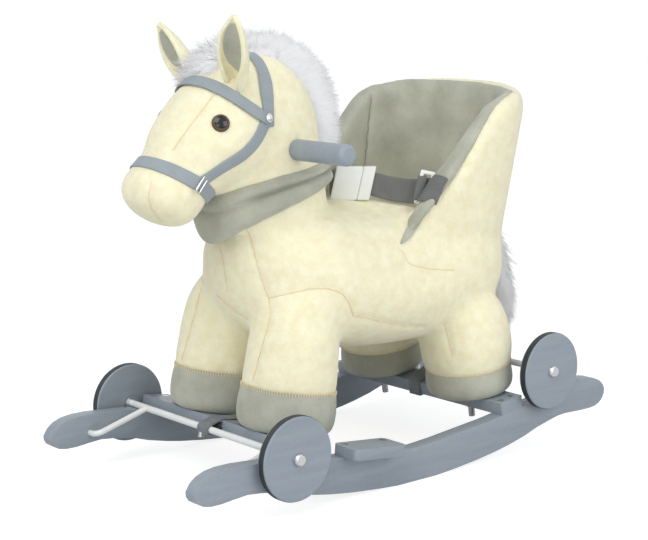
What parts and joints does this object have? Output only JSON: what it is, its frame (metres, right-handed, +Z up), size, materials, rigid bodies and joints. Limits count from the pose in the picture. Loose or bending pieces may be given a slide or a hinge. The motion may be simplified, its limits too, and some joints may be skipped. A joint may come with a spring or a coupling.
{
  "type": "ride on horse on wheels",
  "caption": "Plush ride-on horse with a bucket seat, lap belt and handle on a wooden rocking base whose wheeled axle frames swing under it, so that it rolls or rocks.",
  "frame": {"origin": "middle of the bounding box in plan, on the floor under the runners", "axes": "+X towards the horse's nose, +Y to the rider's left, +Z up"},
  "size_m": [0.646, 0.348, 0.532],
  "materials": {
    "painted_wood": "satin blue-grey paint on wood",
    "plain_wood": "sawn softwood and plywood",
    "white_steel": "gloss white coating on steel rod",
    "chrome": "bright plating",
    "bright_steel": "zinc plated",
    "rubber": "matt black rubber",
    "grey_webbing": "woven dark grey webbing",
    "cream_plush": "short cream plush",
    "grey_suede": "matt grey suede cloth",
    "pile_fur": "light grey long pile",
    "blue_strap": "blue-grey suede strap",
    "brown_eye": "glossy brown with a dark pupil",
    "white_plastic": "white moulded plastic"
  },
  "bodies": {
    "horse_and_base": {"runner_left": "painted_wood", "runner_right": "painted_wood", "front_crossbar": "painted_wood", "rear_crossbar": "painted_wood", "footrest_left": "painted_wood", "footrest_right": "painted_wood", "base_screws": "bright_steel", "leg_bolts": "bright_steel", "leg_nuts": "bright_steel", "front_strap": "grey_webbing", "rear_strap": "grey_webbing", "leg_posts": "plain_wood", "body_board": "plain_wood", "neck_post": "plain_wood", "back_board": "plain_wood", "body_plush": "cream_plush", "neck_plush": "cream_plush", "head_plush": "cream_plush", "leg_front_left": "cream_plush", "leg_front_right": "cream_plush", "leg_hind_left": "cream_plush", "leg_hind_right": "cream_plush", "hoof_front_left": "grey_suede", "hoof_front_right": "grey_suede", "hoof_hind_left": "grey_suede", "hoof_hind_right": "grey_suede", "mane": "pile_fur", "tail": "pile_fur", "ear_left": "cream_plush", "ear_right": "cream_plush", "ear_linings": "grey_suede", "eyes": "brown_eye", "noseband": "blue_strap", "headstall": "blue_strap", "bridle_rivets": "chrome", "scarf": "grey_suede", "handle": "painted_wood", "backrest_shell": "cream_plush", "seat_lining": "grey_suede", "belt_left": "grey_webbing", "belt_right": "grey_webbing", "buckle_socket": "white_plastic"},
    "front_axle": {"front_axle_rod": "white_steel", "front_arm_left": "white_steel", "front_arm_right": "white_steel", "front_axle_fittings": "chrome"},
    "rear_axle": {"rear_axle_rod": "white_steel", "rear_arm_left": "white_steel", "rear_arm_right": "white_steel", "rear_axle_fittings": "chrome"},
    "wheel_front_left": {"wheel_front_left": "painted_wood", "tyre_front_left": "rubber"},
    "wheel_front_right": {"wheel_front_right": "painted_wood", "tyre_front_right": "rubber"},
    "wheel_rear_left": {"wheel_rear_left": "painted_wood", "tyre_rear_left": "rubber"},
    "wheel_rear_right": {"wheel_rear_right": "painted_wood", "tyre_rear_right": "rubber"},
    "belt_tongue": {"buckle_tongue": "white_plastic"},
    "belt_slider": {"belt_slider": "white_plastic"}
  },
  "joints": [
    {"name": "front_axle_swing", "type": "hinge", "parent": "horse_and_base", "child": "front_axle", "pos_m": [0.27001, 0, 0.04462], "axis": [0, 1, 0], "range_deg": [0, 324.6], "deforming": ["front_strap"]},
    {"name": "rear_axle_swing", "type": "hinge", "parent": "horse_and_base", "child": "rear_axle", "pos_m": [-0.25601, 0, 0.04462], "axis": [0, -1, 0], "range_deg": [0, 292.8], "deforming": ["rear_strap"]},
    {"name": "wheel_front_left_spin", "type": "hinge", "parent": "front_axle", "child": "wheel_front_left", "pos_m": [0.19779, 0.1608, 0.0649], "axis": [0, 1, 0], "continuous": true},
    {"name": "wheel_front_right_spin", "type": "hinge", "parent": "front_axle", "child": "wheel_front_right", "pos_m": [0.19779, -0.1608, 0.0649], "axis": [0, 1, 0], "continuous": true},
    {"name": "wheel_rear_left_spin", "type": "hinge", "parent": "rear_axle", "child": "wheel_rear_left", "pos_m": [-0.20541, 0.1608, 0.09998], "axis": [0, 1, 0], "continuous": true},
    {"name": "wheel_rear_right_spin", "type": "hinge", "parent": "rear_axle", "child": "wheel_rear_right", "pos_m": [-0.20541, -0.1608, 0.09998], "axis": [0, 1, 0], "continuous": true},
    {"name": "buckle_release", "type": "slide", "parent": "horse_and_base", "child": "belt_tongue", "axis": [-0.7712, 0.6366, 0], "range_m": [0, 0.024], "deforming": ["belt_left"]},
    {"name": "slider_slide", "type": "slide", "parent": "horse_and_base", "child": "belt_slider", "axis": [0.7712, -0.6366, 0], "range_m": [0, 0.024]}
  ]
}
